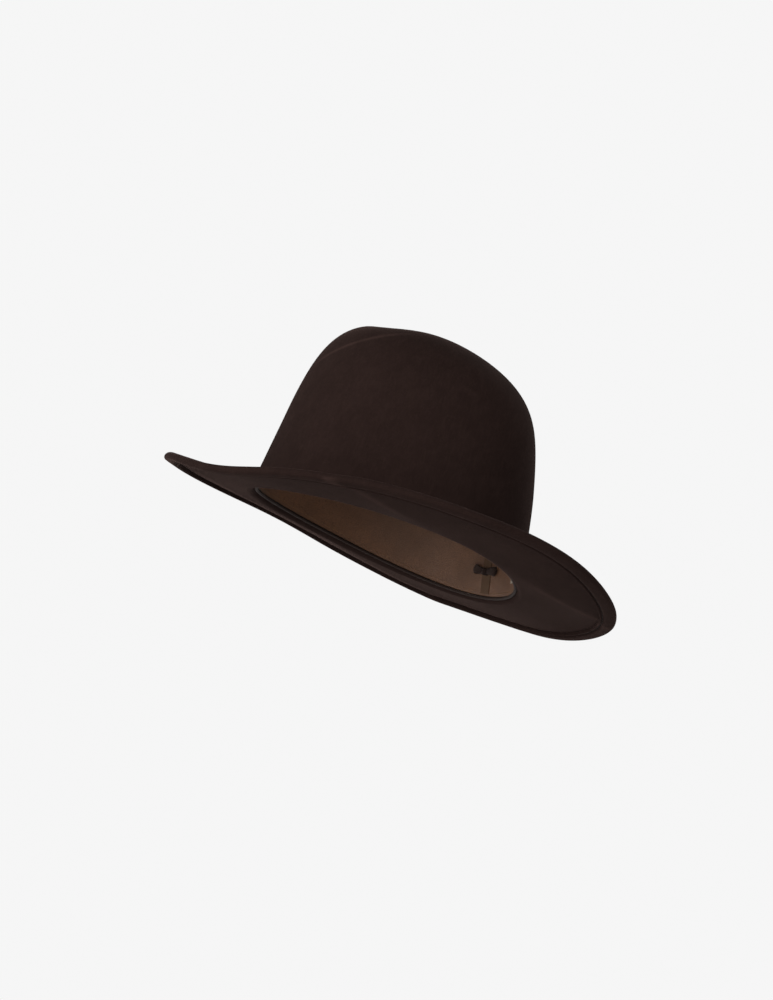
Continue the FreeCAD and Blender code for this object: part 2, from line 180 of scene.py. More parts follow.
@dataclass(frozen=True)
class HatForm:
    """Driving sizes and formulas of the hat's surfaces, in metres; the same as the solids'."""
    out_half_length: float = 104.0 * MM
    out_half_width: float = 89.0 * MM
    felt: float = 2.6 * MM
    side_rise: float = 3.2 * MM
    height: float = 132.5 * MM
    top_slope: float = 0.15
    taper: float = 0.265
    side_taper: float = 0.08
    lean: float = -10.0 * MM
    shoulder: float = 6.6
    flatness: float = 3.1
    back_rounding: float = -0.43
    dent_depth: float = 11.0 * MM
    dent_half_width: float = 18.0 * MM
    dent_half_length: float = 48.0 * MM
    dent_centre: float = -12.0 * MM
    brim_width: float = 63.7 * MM
    brim_extra_front: float = -5.7 * MM
    edge_squareness: float = 2.04
    edge_terms: tuple[float, ...] = (0.1, -2.95, -2.7, -1.3, -2.0, -0.9, -1.5)
    droop_power: float = 1.11
    crease: float = 89.0 * MM
    crease_softness: float = 5.0 * MM
    side_slope: float = 0.21

    def crown(self, angle: Array, rise: Array, drop: float = 0.0, dent: bool = True) -> Array:
        """Outside of the crown: rise is 0 at the brim and 1 at the middle of the top.

        The wall is an ellipse that shrinks by its taper and by the superellipse
        (1 - rise^shoulder)^(1 / flatness); its height follows rise less a slope towards the back, and
        a Gaussian trough along the middle of the top is taken away.
        """
        angle, rise = np.broadcast_arrays(angle, rise)
        front = np.cos(angle)
        power = 1.0 / (self.flatness + self.back_rounding * front)
        body = np.maximum(0.0, 1.0 - rise ** self.shoulder) ** power
        x = self.out_half_width * np.sin(angle) * body * (1.0 - self.side_taper * rise)
        y = -self.out_half_length * front * body * (1.0 - self.taper * rise) + self.lean * rise
        z = rise * (self.height - drop * rise ** 3 - self.top_slope * y)
        if dent:
            along = np.exp(-((y - self.dent_centre) / self.dent_half_length) ** 4)
            z = z - self.dent_depth * along * np.exp(-(x / self.dent_half_width) ** 2)
        z = z - self.side_rise * np.cos(2.0 * angle) * (1.0 - rise)
        return vectors(x, y, z)

    def brim_edge(self, angle: Array) -> Array:
        """Outline of the brim in plan: a superellipse that reaches further at the back."""
        power = 2.0 / self.edge_squareness
        sine, cosine = np.sin(angle), np.cos(angle)
        half_length = self.out_half_length + self.brim_width + self.brim_extra_front * cosine
        half_width = self.out_half_width + self.brim_width
        x = half_width * np.sign(sine) * np.abs(sine) ** power
        y = -half_length * np.sign(cosine) * np.abs(cosine) ** power
        return vectors(x, y, np.zeros_like(x))

    def turn_up(self, x: Array) -> Array:
        """Rise of the turned-up sides: a slope beyond the crease, whose start is rounded by a hyperbola."""
        beyond = np.abs(x) - self.crease
        return self.side_slope * (np.hypot(beyond, self.crease_softness) + beyond) / 2.0

    def brim(self, angle: Array, out: Array) -> Array:
        """Top of the brim: out is 0 at the crown and 1 at the edge.

        Straight lines in plan from the crown to the edge; the height is the crown's own fading as
        (1 - out)^2, the sides' turn-up, and the edge's height growing as out^droop_power.
        """
        angle, out = np.broadcast_arrays(angle, out)
        base, edge = self.crown(angle, np.zeros_like(out)), self.brim_edge(angle)
        plan = base + (edge - base) * out[..., None]
        z = (base[..., 2] - self.turn_up(base[..., 0])) * (1.0 - out) ** 2 + self.turn_up(plan[..., 0])
        droop = series(self.edge_terms, angle) * MM * out ** self.droop_power
        return vectors(plan[..., 0], plan[..., 1], z + droop)

    def normal(self, surface: Callable[[Array, Array], Array], angle: Array, along: Array) -> Array:
        """Unit normal of a surface from small steps, pointing outwards or upwards."""
        step = 1e-3
        around = surface(angle + step, along) - surface(angle - step, along)
        ahead, behind = np.minimum(along + step, 1.0), np.maximum(along - step, 0.0)
        outwards = surface(angle, ahead) - surface(angle, behind)
        turned = np.cross(unit(around), unit(outwards))
        return unit(-turned if surface == self.brim else turned)

    def below(self, surface: Callable[[Array, Array], Array], angle: Array, along: Array,
              depth: Array) -> Array:
        """Points at a depth under a surface."""
        angle, along, depth = np.broadcast_arrays(angle, along, depth)
        return surface(angle, along) - self.normal(surface, angle, along) * depth[..., None]

    def wall(self, angle: Array, height: Array, depth: Array) -> Array:
        """Points at a height up the crown's wall and a depth inside it."""
        return self.below(self.crown, angle, height / self.height, depth)

    def out_at(self, angle: Array, inset: Array) -> Array:
        """The brim's parameter at a distance in from its edge, found by scaling the chord six times."""
        angle, inset = np.broadcast_arrays(angle, inset)
        edge = self.brim(angle, np.ones_like(inset))
        out = 1.0 - inset / self.brim_width
        for _ in range(6):
            chord = np.linalg.norm(self.brim(angle, out) - edge, axis=-1)
            out = np.where(inset > 1e-9, 1.0 - (1.0 - out) * inset / np.maximum(chord, 1e-9), 1.0)
        return out

    def rim(self, angle: Array, inset: Array, depth: Array) -> Array:
        """Points at a distance in from the brim's edge and a depth under its top."""
        return self.below(self.brim, angle, self.out_at(angle, inset), depth)

    def crown_steps(self, first: float, last: float, count: int) -> Array:
        """Rises that are evenly spaced along the profile of the crown's side."""
        rises = last - (last - first) * (1.0 - np.linspace(0.0, 1.0, 4000)) ** 4
        points = self.crown(np.full_like(rises, math.pi / 2.0), rises, dent=False)
        travelled = np.concatenate([[0.0], np.linalg.norm(np.diff(points, axis=0), axis=-1).cumsum()])
        return np.interp(np.linspace(0.0, travelled[-1], count + 1), travelled, rises)

    def pole(self, depth: float, drop: float = 0.0, dent: bool = True) -> Array:
        """The point at a depth under the middle of the top."""
        up = unit(np.array([0.0, self.top_slope, 1.0]))
        return self.crown(np.zeros(1), np.ones(1), drop, dent)[0] - up * depth


FORM = HatForm()


def angles(count: int) -> Array:
    """Evenly spaced angles round the hat, shaped (count, 1)."""
    return (np.arange(count) / count * FULL_TURN)[:, None]


def settle(points: Array) -> Array:
    """Adds the slight unevenness of a hat shaped by hand, under a millimetre.

    The crown's wall moves in and out along its radius and the brim up and down, each by a sum of long
    sine waves; both fade out where the crown meets the brim. The brim's share stays thinner than the
    felt over the wire.
    """
    x, y, z = points[..., 0], points[..., 1], points[..., 2]
    radius = np.maximum(np.hypot(x, y), 1e-6)
    outside = np.hypot(x / FORM.out_half_width, y / FORM.out_half_length)
    wall = ripple((0.45 * MM, 46 * x + 31 * z + 0.4), (0.40 * MM, 38 * y - 52 * z + 1.3),
                  (0.22 * MM, 71 * x - 63 * y + 44 * z)) * smooth_step(z, 38 * MM, 70 * MM)
    lift = ripple((0.26 * MM, 33 * x + 21 * y), (0.18 * MM, 57 * y - 24 * x + 2.0),
                  (0.10 * MM, 88 * x + 61 * y + 0.7)) * smooth_step(outside, 1.15, 1.45)
    return points + vectors(wall * x / radius, wall * y / radius, lift)


# ---- shaders ---------------------------------------------------------------------------------

class Signal:
    """A value that varies over a surface, with arithmetic that adds Math nodes."""

    def __init__(self, shader: "Shader", socket: bpy.types.NodeSocket) -> None:
        """Wraps a node's output socket."""
        self.shader = shader
        self.socket = socket

    def math(self, operation: str, *others: "Signal | float") -> "Signal":
        """This value and others through one Math node."""
        return self.shader.node("ShaderNodeMath", {"operation": operation}, dict(enumerate((self, *others))))

    def __add__(self, other: "Signal | float") -> "Signal":
        """Sum."""
        return self.math("ADD", other)

    __radd__ = __add__

    def __sub__(self, other: "Signal | float") -> "Signal":
        """Difference."""
        return self.math("SUBTRACT", other)

    def __rsub__(self, other: float) -> "Signal":
        """A number less this value."""
        return self.shader.node("ShaderNodeMath", {"operation": "SUBTRACT"}, {0: other, 1: self})

    def __mul__(self, other: "Signal | float") -> "Signal":
        """Product."""
        return self.math("MULTIPLY", other)

    __rmul__ = __mul__

    def __pow__(self, power: float) -> "Signal":
        """Power."""
        return self.math("POWER", power)

    def between(self, low: float, high: float) -> "Signal":
        """0 below low and 1 above high, smoothly; low may be above high."""
        inputs = {"Value": self, "From Min": low, "From Max": high, "To Min": 0.0, "To Max": 1.0}
        return self.shader.node("ShaderNodeMapRange", {"interpolation_type": "SMOOTHSTEP"}, inputs)


class Shader:
    """A node material and the few ways that this file adds nodes to it."""

    def __init__(self, name: str) -> None:
        """Makes the material with its plain surface shader."""
        self.material = bpy.data.materials.new(name)
        self.material.use_nodes = True
        self.nodes = self.material.node_tree.nodes
        self.links = self.material.node_tree.links
        self.surface = self.nodes["Principled BSDF"]
        self.place = self.node("ShaderNodeTexCoord", outputs="Object")
        self.cloth = self.node("ShaderNodeTexCoord", outputs="UV")

    def node(self, kind: str, settings: dict[str, object] | None = None,
             inputs: dict[object, object] | None = None, outputs: object = 0) -> Signal:
        """Adds one node.

        Args:
            kind: the node's type.
            settings: attributes set before its sockets.
            inputs: a number, colour or Signal for each socket.
            outputs: the output to give back.

        Returns:
            The chosen output.
        """
        made = self.nodes.new(kind)
        for key, value in (settings or {}).items():
            setattr(made, key, value)
        for key, value in (inputs or {}).items():
            self.feed(made.inputs[key], value)
        return Signal(self, made.outputs[outputs])

    def feed(self, socket: bpy.types.NodeSocket, value: object) -> None:
        """Links or sets one socket."""
        if isinstance(value, Signal):
            self.links.new(value.socket, socket)
        elif isinstance(value, tuple) and len(value) == 3 and socket.type == "RGBA":
            socket.default_value = (*value, 1.0)
        else:
            socket.default_value = value

    def set(self, **values: object) -> None:
        """Feeds the surface shader; a name's underscores stand for spaces."""
        for key, value in values.items():
            self.feed(self.surface.inputs[key.replace("_", " ")], value)

    def noise(self, scale: float, detail: float = 3.0, roughness: float = 0.55, at: Signal | None = None,
              distortion: float = 0.0) -> Signal:
        """Cloudy noise from 0 to 1; scale is in features a metre."""
        return self.node("ShaderNodeTexNoise", None,
                         {"Vector": at or self.place, "Scale": scale, "Detail": detail,
                          "Roughness": roughness, "Distortion": distortion})

    def stretched(self, at: Signal, scale: tuple[float, float, float]) -> Signal:
        """Coordinates scaled along each axis."""
        return self.node("ShaderNodeMapping", None, {"Vector": at, "Scale": scale})

    def axes(self, at: Signal) -> tuple[Signal, Signal, Signal]:
        """The x, y and z of coordinates."""
        split = self.node("ShaderNodeSeparateXYZ", None, {0: at}).socket.node
        return tuple(Signal(self, out) for out in split.outputs)

    def mix(self, factor: object, first: object, second: object) -> Signal:
        """Two colours mixed by a factor."""
        return self.node("ShaderNodeMix", {"data_type": "RGBA"},
                         {"Factor": factor, 6: first, 7: second}, 2)

    def bump(self, height: Signal, distance: float, strength: float = 1.0,
             normal: Signal | None = None) -> Signal:
        """Normal bent by a height from 0 to 1 that stands for a distance in metres."""
        inputs = {"Height": height, "Distance": distance, "Strength": strength}
        if normal:
            inputs["Normal"] = normal
        return self.node("ShaderNodeBump", None, inputs)


def tint(colour: Colour, share: float) -> Colour:
    """A colour made lighter or darker by a share."""
    return tuple(min(1.0, part * share) for part in colour)


@dataclass(frozen=True)
class Felt:
    """Brushed wool felt: matted fibres, a nap that lies in patches, pale hairs, and painted highlights along
    the creases and the crown's shoulder.
    """
    name: str
    colour: Colour = (0.0165, 0.0094, 0.0080)
    nap: Colour = (0.034, 0.020, 0.0172)
    hair: Colour = (0.105, 0.068, 0.058)
    sheen: float = 0.06
    fibre: float = 1500.0
    crease: float = FORM.crease - 1.0 * MM
    crease_highlight_reach: float = 6.0 * MM
    shoulder_highlight_slope: float = 0.566
    shoulder_highlight_height: float = 108.5 * MM
    shoulder_highlight_reach: float = 2.8 * MM

    def make(self) -> bpy.types.Material:
        """Builds the material.

        Two sizes of noise, the finer warped by the coarser, give the matted fibres; noise stretched down
        the crown gives the combed nap; and the two creases, at a fixed distance each side of the
        middle, get a painted highlight where they run clear of the crown, on faces turned downwards. So
        does a slanting line on the front of the crown's shoulder.
        """
        shader = Shader(self.name)
        x, y, z = shader.axes(shader.place)
        clouds = shader.noise(13.0, 3.0, 0.5)
        patches = shader.noise(75.0, 4.0, 0.62, distortion=0.8)
        fibres = shader.noise(self.fibre, 4.0, 0.72, distortion=1.8)
        combed = shader.noise(560.0, 4.0, 0.7, at=shader.stretched(shader.place, (1.0, 1.0, 0.3)))
        hairs = shader.noise(2100.0, 2.0, 0.5, at=shader.stretched(shader.place, (0.35, 1.0, 0.6)),
                             distortion=2.5).between(0.64, 0.76)
        # painted highlight: the two creases are made paler on the brim's downward faces, standing in for the
        # light that the fold catches
        crease_highlight = (x.math("ABSOLUTE") - self.crease).math("ABSOLUTE").between(self.crease_highlight_reach, 0.4 * MM)
        outside = ((x * (1.0 / FORM.out_half_width)) ** 2.0 + (y * (1.0 / FORM.out_half_length)) ** 2.0)
        under = shader.axes(shader.node("ShaderNodeNewGeometry", outputs="Normal"))[2].between(0.2, -0.4)
        crease_highlight = crease_highlight * outside.between(1.12, 1.5) * under * z.between(12 * MM, 8 * MM)
        # painted highlight: a paler slanting line across the front of the crown's shoulder, standing in for
        # light caught along its edge
        shoulder_highlight = (z - x * self.shoulder_highlight_slope - self.shoulder_highlight_height).math("ABSOLUTE")
        shoulder_highlight = shoulder_highlight.between(self.shoulder_highlight_reach, 0.3 * MM)
        shoulder_highlight = shoulder_highlight * y.between(-58 * MM, -68 * MM) * x.math("ABSOLUTE").between(38 * MM, 20 * MM)
        colour = shader.mix(clouds.between(0.30, 0.72), tint(self.colour, 0.92), tint(self.colour, 1.14))
        colour = shader.mix(patches.between(0.38, 0.72) * 0.20, colour, self.nap)
        colour = shader.mix(combed.between(0.42, 0.70) * 0.20, colour, self.nap)
        colour = shader.mix(fibres.between(0.45, 0.75) * 0.34, colour, self.nap)
        # the painted highlights of the creases and of the crown's shoulder are mixed in here, paler than the
        # nap
        colour = shader.mix(crease_highlight * (patches * 0.5 + 0.15), colour, tint(self.nap, 1.4))
        colour = shader.mix(shoulder_highlight * (patches * 0.6 + 0.12), colour, tint(self.nap, 1.45))
        colour = shader.mix(hairs * 0.16, colour, self.hair)
        fluff = shader.bump(fibres * 0.55 + combed * 0.45, 0.00034, 0.60)
        lumps = shader.bump(patches, 0.0005, 0.30, normal=fluff)
        shader.set(Base_Color=colour, Roughness=fibres * 0.1 + 0.88, Normal=lumps)
        shader.set(Sheen_Weight=self.sheen, Sheen_Roughness=0.28, Sheen_Tint=(1.0, 0.66, 0.58, 1.0))
        shader.set(Specular_IOR_Level=0.03)
        return shader.material


@dataclass(frozen=True)
class Thread:
    """Twisted thread: diagonal plies along each stitch."""
    name: str
    colour: Colour
    ply: float = 0.45 * MM

    def make(self) -> bpy.types.Material:
        """Builds the material."""
        shader = Shader(self.name)
        u, v, _ = shader.axes(shader.cloth)
        twist = ((u + v * 1.2) * (FULL_TURN / self.ply)).math("SINE") * 0.5 + 0.5
        fuzz = shader.noise(5200.0, 3.0, 0.7)
        colour = shader.mix(twist, tint(self.colour, 0.62), tint(self.colour, 1.2))
        colour = shader.mix(fuzz.between(0.5, 0.8) * 0.4, colour, tint(self.colour, 1.7))
        shader.set(Base_Color=colour, Roughness=fuzz * 0.2 + 0.6, Normal=shader.bump(twist, 0.00012, 0.9))
        shader.set(Sheen_Weight=0.06, Sheen_Roughness=0.4, Specular_IOR_Level=0.15)
        return shader.material


@dataclass(frozen=True)
class Leather:
    """Sweatband leather: fine pebble grain, pores, faint creases and a slightly glossy face."""
    name: str
    colour: Colour = (0.155, 0.070, 0.032)

    def make(self) -> bpy.types.Material:
        """Builds the material."""
        shader = Shader(self.name)
        pebble = shader.node("ShaderNodeTexVoronoi", {"feature": "DISTANCE_TO_EDGE"},
                             {"Vector": shader.place, "Scale": 1250.0, "Randomness": 1.0})
        grain = pebble.between(0.0, 0.22)
        pores = shader.noise(2600.0, 2.0, 0.5).between(0.64, 0.74)
        creases = shader.noise(95.0, 5.0, 0.65, distortion=1.2)
        clouds = shader.noise(26.0, 3.0, 0.55)
        colour = shader.mix(clouds.between(0.3, 0.7), tint(self.colour, 0.72), tint(self.colour, 1.16))
        colour = shader.mix(grain, tint(self.colour, 0.5), colour)
        colour = shader.mix(pores * 0.55, colour, tint(self.colour, 0.3))
        height = grain * 0.8 - pores * 0.5 + creases * 0.6
        shader.set(Base_Color=colour, Roughness=0.62 - grain * 0.14 - creases * 0.12,
                   Normal=shader.bump(height, 0.00018, 0.7))
        shader.set(Specular_IOR_Level=0.42)
        return shader.material


@dataclass(frozen=True)
class Ribbed:
    """Ribbed ribbon or tape: cross ribs and warp threads over them."""
    name: str
    colour: Colour
    rib: float = 0.9 * MM
    warp: float = 0.32 * MM
    across: bool = False
    sheen: float = 0.05

    def make(self) -> bpy.types.Material:
        """Builds the material."""
        shader = Shader(self.name)
        u, v, _ = shader.axes(shader.cloth)
        along, over = (v, u) if self.across else (u, v)
        wobble = shader.noise(240.0, 2.0, 0.5) * 0.5
        rib = (along * (FULL_TURN / self.rib) + wobble).math("SINE").math("ABSOLUTE")
        warp = (over * (FULL_TURN / self.warp) + wobble).math("SINE") * 0.5 + 0.5
        fuzz = shader.noise(3800.0, 3.0, 0.6)
        colour = shader.mix(rib, tint(self.colour, 0.45), tint(self.colour, 1.15))
        colour = shader.mix(warp * 0.35, colour, tint(self.colour, 1.55))
        shader.set(Base_Color=colour, Roughness=0.72 - rib * 0.18 + fuzz * 0.1,
                   Normal=shader.bump(rib * 0.8 + warp * 0.2 + fuzz * 0.1, 0.00022, 0.8))
        shader.set(Sheen_Weight=self.sheen, Sheen_Roughness=0.4, Specular_IOR_Level=0.15)
        return shader.material


@dataclass(frozen=True)
class Satin:
    """Lining satin: long floats along the thread, faint slubs and a soft gloss."""
    name: str
    colour: Colour = (0.105, 0.060, 0.038)

    def make(self) -> bpy.types.Material:
        """Builds the material."""
        shader = Shader(self.name)
        floats = shader.noise(1.0, 3.0, 0.6, at=shader.stretched(shader.cloth, (900.0, 5200.0, 1.0)))
        slubs = shader.noise(1.0, 2.0, 0.5, at=shader.stretched(shader.cloth, (14.0, 900.0, 1.0)))
        clouds = shader.noise(38.0, 2.0, 0.5)
        colour = shader.mix(floats, tint(self.colour, 0.78), tint(self.colour, 1.22))
        colour = shader.mix(slubs.between(0.6, 0.8) * 0.5, colour, tint(self.colour, 1.5))
        colour = shader.mix(clouds.between(0.4, 0.7) * 0.25, colour, tint(self.colour, 0.7))
        shader.set(Base_Color=colour, Roughness=0.34 + floats * 0.14 + clouds * 0.06,
                   Normal=shader.bump(floats + slubs * 0.4, 0.00006, 0.5))
        shader.set(Sheen_Weight=0.08, Sheen_Roughness=0.3, Specular_IOR_Level=0.4)
        return shader.material


@dataclass(frozen=True)
class Metal:
    """Drawn or crimped metal: fine scratches along it and small stains."""
    name: str
    colour: Colour
    roughness: float = 0.3

    def make(self) -> bpy.types.Material:
        """Builds the material."""
        shader = Shader(self.name)
        scratches = shader.noise(900.0, 4.0, 0.6, at=shader.stretched(shader.place, (0.08, 1.0, 1.0)))
        stains = shader.noise(420.0, 3.0, 0.6).between(0.45, 0.75)
        colour = shader.mix(stains, self.colour, tint(self.colour, 0.6))
        shader.set(Base_Color=colour, Roughness=scratches * 0.25 + self.roughness,
                   Normal=shader.bump(scratches, 0.00003, 0.4))
        shader.set(Metallic=1.0)
        return shader.material


@dataclass(frozen=True)
class Plastic:
    """Extruded plastic: almost smooth, with faint haze."""
    name: str
    colour: Colour

    def make(self) -> bpy.types.Material:
        """Builds the material."""
        shader = Shader(self.name)
        haze = shader.noise(300.0, 3.0, 0.5)
        colour = shader.mix(haze, tint(self.colour, 0.85), self.colour)
        shader.set(Base_Color=colour, Roughness=haze * 0.2 + 0.35, Normal=shader.bump(haze, 0.00004, 0.3))
        return shader.material


# ---- helpers for pieces ----------------------------------------------------------------------

def dress(piece: bpy.types.Object, finish: object, slot: str, *nodes: str) -> bpy.types.Object:
    """Gives a piece its material and body, and hides the solids that it stands for."""
    piece.data.materials.clear()
    piece.data.materials.append(finish.make())
    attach(piece, ROOT)
    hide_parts(*nodes)
    LOG.info("%s: %d vertices for %s", piece.name, len(piece.data.vertices), ", ".join(nodes))
    return piece


def repaint(node: str, finish: object) -> None:
    """Gives a carried-over solid its material."""
    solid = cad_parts[node]
    solid.data.materials.clear()
    solid.data.materials.append(finish.make())
    LOG.info("%s: keeps its solid's mesh", node)


def arc(middle: tuple[float, float], radius: float, start: float, end: float, count: int) -> Array:
    """Points of an arc in a section, shaped (count, 2), with angles in degrees."""
    turn = np.radians(np.linspace(start, end, count))
    return np.stack([middle[0] + radius * np.cos(turn), middle[1] + radius * np.sin(turn)], axis=-1)


def side(start: tuple[float, float], end: tuple[float, float], count: int) -> Array:
    """Points of a straight side of a section, shaped (count, 2), with both ends."""
    share = np.linspace(0.0, 1.0, count)[:, None]
    return np.array(start) * (1.0 - share) + np.array(end) * share


def slab(low: float, high: float, near: float, far: float, count: int) -> Array:
    """Closed flat section with rounded ends: out along near, round, and back along far."""
    middle, half = (near + far) / 2.0, abs(far - near) / 2.0
    top = arc((high - half, middle), half, -90.0, 90.0, 7)
    bottom = arc((low + half, middle), half, 90.0, 270.0, 7)
    return np.concatenate([side((low + half, middle - half), (high - half, middle - half), count)[:-1],
                           top, side((high - half, middle + half), (low + half, middle + half), count)[1:-1],
                           bottom[:-1]])


def carried(section: Array, place: Place, turn: Array) -> Array:
    """A section's (a, b) points carried to place(angle, a, b) for every angle."""
    return place(turn, section[None, :, 0], section[None, :, 1])


def stitches(name: str, count: int, length: float, thickness: float, place: Place, first: float, depth: float,
             half_width: float) -> bpy.types.Object:
    """Separate stitches in a row round the hat.

    Each is a closed tube whose thickness follows (1 - t^4)^(1/2) from end to end, and whose ends dive
    into the cloth as t^6; alternate stitches lean a little.

    Args:
        name: the piece's name.
        count: stitches in the row.
        length: a stitch's share of its spacing.
        thickness: half thickness of the thread.
        place: maps angle, first coordinate and depth to a point.
        first: the row's first coordinate, such as its inset or height.
        depth: depth of the threads' middle.
        half_width: half width of the thread along the first coordinate.

    Returns:
        The stitches as one object.
    """
    start = (np.arange(count) + 0.5) / count * FULL_TURN
    t = np.sin(np.linspace(-0.5, 0.5, 11) * math.pi)
    round_it = np.arange(8) / 8 * FULL_TURN
    turn = start[:, None, None] + t[None, :, None] * length * math.pi / count
    size = np.sqrt(np.maximum(0.0, 1.0 - t ** 4))[None, :, None]
    lean = 0.35 * half_width * t[None, :, None] * np.cos(start * count / 2.0 * 7.0)[:, None, None]
    across = first + lean + half_width * size * np.cos(round_it)
    deep = depth + thickness * size * np.sin(round_it) - 2.2 * thickness * np.abs(t)[None, :, None] ** 6
    turn, across, deep = np.broadcast_arrays(turn, across, deep)
    return grid_object(name, settle(place(turn, across, deep)).transpose(0, 2, 1, 3), True, False)


# ---- felt ------------------------------------------------------------------------------------

@dataclass
class Body:
    """The crown and brim, blocked from one felt."""
    columns: int = 320
    crown_rows: int = 36
    brim_rows: int = 24
    end: float = 3.75 * MM
    finish: Felt = Felt("felt")

    def control_rows(self) -> Array:
        """Profile points at every angle: over the top, out to the edge and back underneath."""
        turn = angles(self.columns)
        rises = FORM.crown_steps(0.0, 1.0, self.crown_rows)[1:-1][None]
        last = FORM.out_at(turn, np.array(self.end))
        outs = last * np.arange(1, self.brim_rows + 1) / self.brim_rows
        zero = np.zeros_like(turn)
        corner = FORM.crown(turn, zero)
        inner = FORM.below(FORM.crown, turn, zero, FORM.felt) + FORM.below(FORM.brim, turn, zero, FORM.felt)
        top = FORM.brim(turn, outs)
        under = FORM.below(FORM.brim, turn, outs[:, ::-1], FORM.felt)
        poles = [np.broadcast_to(FORM.pole(depth), (self.columns, 1, 3)) for depth in (0.0, FORM.felt)]
        return np.concatenate([poles[0], FORM.crown(turn, rises[:, ::-1]), corner, top, top[:, -1:],
                               under[:, :1], under, inner - corner,
                               FORM.below(FORM.crown, turn, rises, FORM.felt), poles[1]], axis=1)

    def build(self) -> None:
        """Makes the felt body."""
        points = settle(spline_rows(self.control_rows(), 2))
        dress(grid_object("felt_body_blocked", points, True, False), self.finish, "felt", "felt_body")


@dataclass
class Hem:
    """The brim's margin, turned under over the wire and stitched down."""
    columns: int = 512
    width: float = 11.5 * MM
    gap: float = 0.05 * MM
    bead: float = 2.6 * MM
    wire_depth: float = 1.6 * MM
    tunnel: float = 1.0 * MM
    wall: float = 1.8 * MM
    end: float = 3.75 * MM
    stitch_inset: float = 9.3 * MM
    groove: float = 1.15 * MM
    groove_width: float = 0.85 * MM
    swell: float = 0.42 * MM
    tug: float = 0.25
    stitch_count: int = 250
    thread: float = 0.28 * MM
    felt: Felt = Felt("hem_felt", colour=(0.0172, 0.0098, 0.0083))
    cotton: Thread = Thread("brown_thread", (0.012, 0.007, 0.006))

    def section(self) -> Array:
        """J-shaped section as (inset, depth): bead, flat tail, raw edge, and the wire's tunnel."""
        face, flat, bottom = self.end - self.gap, FORM.felt + self.gap, 2.0 * self.bead
        corner = 0.5 * MM
        inner = self.width - corner
        return np.concatenate([
            side((face, 0.0), (self.bead, 0.0), 3)[:-1],
            arc((self.bead, self.bead), self.bead, -90.0, -270.0, 17),
            side((self.bead, bottom), (inner, bottom), 40)[1:-1],
            arc((inner, bottom - corner), corner, 90.0, 0.0, 5),
            side((self.width, bottom - corner), (self.width, flat), 4)[1:],
            side((self.width, flat), (face, flat), 6)[1:],
            arc((self.wall + self.tunnel, self.wire_depth), self.tunnel, 90.0, 270.0, 9),
            side((face, self.wire_depth - self.tunnel), (face, 0.0), 3)[:-1]])

    def shape(self) -> Array:
        """The section carried round the rim.

        The thread pulls a groove, a Gaussian of the distance to the stitching, into the lower face,
        the face swells either side of it, and the raw edge wanders by a few tenths.
        """
        turn, section = angles(self.columns), self.section()
        inset, depth = section[None, :, 0], section[None, :, 1]
        lower = (depth > 2.0 * self.bead - 0.05 * MM) & (inset > self.bead)
        pull = self.groove * np.exp(-((inset - self.stitch_inset) / self.groove_width) ** 2)
        share = np.clip((inset - self.bead) / (self.stitch_inset - self.bead), 0.0, 1.0)
        swell = self.swell * np.sin(share * math.pi)
        tug = 1.0 + self.tug * np.cos(turn * self.stitch_count)
        depth = depth + np.where(lower, swell - pull * tug, 0.0)
        wander = ripple((0.16 * MM, 23 * turn), (0.13 * MM, 41 * turn + 1.0), (0.08 * MM, 97 * turn))
        inset = inset + wander * smooth_step(inset, self.width - 1.6 * MM, self.width)
        return FORM.rim(turn, inset, depth)

    def build(self) -> None:
        """Makes the hem and its stitching."""
        hem = grid_object("brim_hem_turned", settle(self.shape()))
        dress(hem, self.felt, "hem_felt", "brim_hem")
        depth = 2.0 * self.bead - self.groove + 0.55 * self.thread
        thread = stitches("hem_stitches", self.stitch_count, 0.74, 0.8 * self.thread, FORM.rim,
                          self.stitch_inset, depth, self.thread)
        dress(thread, self.cotton, "brown_thread", "hem_stitching")


# ---- sweatband -------------------------------------------------------------------------------

